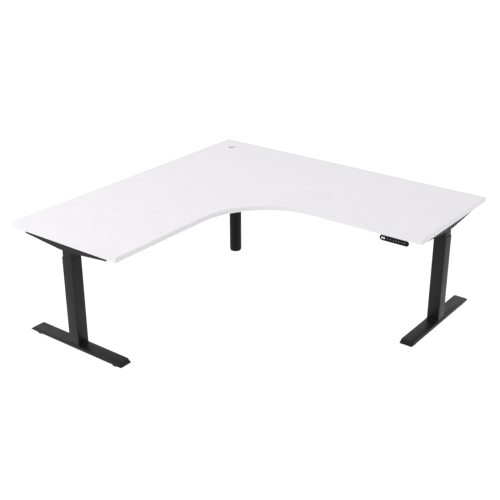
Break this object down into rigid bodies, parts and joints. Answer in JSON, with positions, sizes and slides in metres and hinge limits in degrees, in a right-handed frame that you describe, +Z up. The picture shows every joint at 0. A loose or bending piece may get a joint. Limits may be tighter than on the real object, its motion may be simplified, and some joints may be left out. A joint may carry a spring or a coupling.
{
  "type": "height adjustable standing desk",
  "caption": "L-shaped sit-stand desk on motor-driven telescopic legs, with T-feet under its arms, a round corner post, an edge handset and a cable grommet.",
  "frame": {"origin": "on the floor, below the middle of the worktop's 1800 by 1800 mm outer square", "axes": "+Z up, +X along the right arm's wall edge away from the wall corner, +Y towards that wall; the wall corner is at -X, +Y and the left arm runs along -Y"},
  "size_m": [1.8, 1.8, 0.6465],
  "materials": {
    "laminate": "white melamine-faced board, faint fine texture",
    "edge_band": "white plastic edge band, satin",
    "powder_coat": "fine-textured matt black powder coat on steel",
    "black_plastic": "black moulded nylon",
    "spindle_steel": "bright greased steel",
    "zinc": "bright zinc-plated steel",
    "alloy": "die-cast housing",
    "motor_can": "satin black painted steel can",
    "rubber": "levelling pad",
    "grommet_white": "white moulded plastic",
    "grommet_grey": "pale grey moulded plastic",
    "handset_black": "black satin moulded plastic",
    "display": "lit display window",
    "key_black": "black key with a pale symbol",
    "lead_black": "black PVC-sheathed lead"
  },
  "bodies": {
    "left_base": {"left_foot": "powder_coat", "left_outer_tube": "powder_coat", "left_outer_bush": "black_plastic", "left_nut_post": "zinc"},
    "left_middle": {"left_middle_tube": "powder_coat"},
    "left_lower_screw": {"left_lower_spindle": "spindle_steel"},
    "left_upper_screw": {"left_upper_spindle": "spindle_steel"},
    "right_base": {"right_foot": "powder_coat", "right_outer_tube": "powder_coat", "right_outer_bush": "black_plastic", "right_nut_post": "zinc"},
    "right_middle": {"right_middle_tube": "powder_coat"},
    "right_lower_screw": {"right_lower_spindle": "spindle_steel"},
    "right_upper_screw": {"right_upper_spindle": "spindle_steel"},
    "corner_base": {"corner_outer_tube": "powder_coat", "corner_outer_bush": "black_plastic", "corner_nut_post": "zinc"},
    "corner_middle": {"corner_middle_tube": "powder_coat"},
    "corner_lower_screw": {"corner_lower_spindle": "spindle_steel"},
    "corner_upper_screw": {"corner_upper_spindle": "spindle_steel"},
    "top": {"worktop_panel": "laminate", "edge_banding": "edge_band", "worktop_screws": "zinc", "grommet_ring": "grommet_white", "corner_hub": "powder_coat", "beam_sleeves": "powder_coat", "beam_rails": "powder_coat", "beam_bolts": "zinc", "left_bracket": "powder_coat", "right_bracket": "powder_coat", "left_inner_tube": "powder_coat", "left_gear_housing": "alloy", "left_motor": "motor_can", "right_inner_tube": "powder_coat", "right_gear_housing": "alloy", "right_motor": "motor_can", "corner_inner_tube": "powder_coat", "corner_gear_housing": "alloy", "corner_motor": "motor_can", "handset_case": "handset_black", "display_window": "display", "control_box": "black_plastic", "lead_clips": "black_plastic", "left_motor_lead": "lead_black", "corner_motor_lead": "lead_black", "right_motor_lead": "lead_black", "handset_lead": "lead_black"},
    "grommet_cap": {"grommet_cap": "grommet_grey"},
    "key_up": {"key_up": "key_black"},
    "key_down": {"key_down": "key_black"},
    "key_1": {"key_1": "key_black"},
    "key_2": {"key_2": "key_black"},
    "key_3": {"key_3": "key_black"},
    "key_4": {"key_4": "key_black"},
    "key_store": {"key_store": "key_black"},
    "left_glide_front": {"left_glide_front": "rubber"},
    "left_glide_back": {"left_glide_back": "rubber"},
    "right_glide_front": {"right_glide_front": "rubber"},
    "right_glide_back": {"right_glide_back": "rubber"},
    "corner_foot": {"corner_foot": "rubber"}
  },
  "joints": [
    {"name": "lift", "type": "slide", "parent": "left_base", "child": "top", "axis": [0, 0, 1], "range_m": [0, 0.65]},
    {"name": "left_middle_stage", "type": "slide", "parent": "left_base", "child": "left_middle", "axis": [0, 0, 1], "range_m": [0, 0.325]},
    {"name": "left_lower_screw_turn", "type": "hinge", "parent": "left_middle", "child": "left_lower_screw", "pos_m": [-0.5383, -0.8287, 0.2], "axis": [0, 0, 1], "continuous": true},
    {"name": "left_upper_screw_turn", "type": "hinge", "parent": "top", "child": "left_upper_screw", "pos_m": [-0.5383, -0.8287, 0.4], "axis": [0, 0, 1], "continuous": true},
    {"name": "right_outer_stage", "type": "slide", "parent": "top", "child": "right_base", "axis": [0, 0, -1], "range_m": [0, 0.65]},
    {"name": "right_middle_stage", "type": "slide", "parent": "top", "child": "right_middle", "axis": [0, 0, -1], "range_m": [0, 0.325]},
    {"name": "right_lower_screw_turn", "type": "hinge", "parent": "right_middle", "child": "right_lower_screw", "pos_m": [0.8287, 0.5383, 0.2], "axis": [0, 0, 1], "continuous": true},
    {"name": "right_upper_screw_turn", "type": "hinge", "parent": "top", "child": "right_upper_screw", "pos_m": [0.8287, 0.5383, 0.4], "axis": [0, 0, 1], "continuous": true},
    {"name": "corner_outer_stage", "type": "slide", "parent": "top", "child": "corner_base", "axis": [0, 0, -1], "range_m": [0, 0.65]},
    {"name": "corner_middle_stage", "type": "slide", "parent": "top", "child": "corner_middle", "axis": [0, 0, -1], "range_m": [0, 0.325]},
    {"name": "corner_lower_screw_turn", "type": "hinge", "parent": "corner_middle", "child": "corner_lower_screw", "pos_m": [-0.66, 0.66, 0.2], "axis": [0, 0, 1], "continuous": true},
    {"name": "corner_upper_screw_turn", "type": "hinge", "parent": "top", "child": "corner_upper_screw", "pos_m": [-0.66, 0.66, 0.4], "axis": [0, 0, 1], "continuous": true},
    {"name": "left_glide_front_level", "type": "slide", "parent": "left_base", "child": "left_glide_front", "axis": [0, 0, -1], "range_m": [0, 0.01]},
    {"name": "left_glide_back_level", "type": "slide", "parent": "left_base", "child": "left_glide_back", "axis": [0, 0, -1], "range_m": [0, 0.01]},
    {"name": "right_glide_front_level", "type": "slide", "parent": "right_base", "child": "right_glide_front", "axis": [0, 0, -1], "range_m": [0, 0.01]},
    {"name": "right_glide_back_level", "type": "slide", "parent": "right_base", "child": "right_glide_back", "axis": [0, 0, -1], "range_m": [0, 0.01]},
    {"name": "corner_foot_level", "type": "slide", "parent": "corner_base", "child": "corner_foot", "axis": [0, 0, -1], "range_m": [0, 0.01]},
    {"name": "key_up_press", "type": "slide", "parent": "top", "child": "key_up", "axis": [0, 1, 0], "range_m": [0, 0.0006], "stiffness_N_per_m": 600, "springref_m": -0.002},
    {"name": "key_down_press", "type": "slide", "parent": "top", "child": "key_down", "axis": [0, 1, 0], "range_m": [0, 0.0006], "stiffness_N_per_m": 600, "springref_m": -0.002},
    {"name": "key_1_press", "type": "slide", "parent": "top", "child": "key_1", "axis": [0, 1, 0], "range_m": [0, 0.0006], "stiffness_N_per_m": 600, "springref_m": -0.002},
    {"name": "key_2_press", "type": "slide", "parent": "top", "child": "key_2", "axis": [0, 1, 0], "range_m": [0, 0.0006], "stiffness_N_per_m": 600, "springref_m": -0.002},
    {"name": "key_3_press", "type": "slide", "parent": "top", "child": "key_3", "axis": [0, 1, 0], "range_m": [0, 0.0006], "stiffness_N_per_m": 600, "springref_m": -0.002},
    {"name": "key_4_press", "type": "slide", "parent": "top", "child": "key_4", "axis": [0, 1, 0], "range_m": [0, 0.0006], "stiffness_N_per_m": 600, "springref_m": -0.002},
    {"name": "key_store_press", "type": "slide", "parent": "top", "child": "key_store", "axis": [0, 1, 0], "range_m": [0, 0.0006], "stiffness_N_per_m": 600, "springref_m": -0.002},
    {"name": "grommet_cap_turn", "type": "hinge", "parent": "top", "child": "grommet_cap", "pos_m": [-0.766, 0.766, 0.64], "axis": [0, 0, 1], "continuous": true}
  ],
  "couplings": [
    {"joint": "left_middle_stage", "follows": "lift", "ratio": 0.5},
    {"joint": "left_lower_screw_turn", "follows": "lift", "rad_per_m": 314.16},
    {"joint": "left_upper_screw_turn", "follows": "lift", "rad_per_m": 628.32},
    {"joint": "right_outer_stage", "follows": "lift", "ratio": 1},
    {"joint": "right_middle_stage", "follows": "lift", "ratio": 0.5},
    {"joint": "right_lower_screw_turn", "follows": "lift", "rad_per_m": 314.16},
    {"joint": "right_upper_screw_turn", "follows": "lift", "rad_per_m": 628.32},
    {"joint": "corner_outer_stage", "follows": "lift", "ratio": 1},
    {"joint": "corner_middle_stage", "follows": "lift", "ratio": 0.5},
    {"joint": "corner_lower_screw_turn", "follows": "lift", "rad_per_m": 314.16},
    {"joint": "corner_upper_screw_turn", "follows": "lift", "rad_per_m": 628.32}
  ]
}
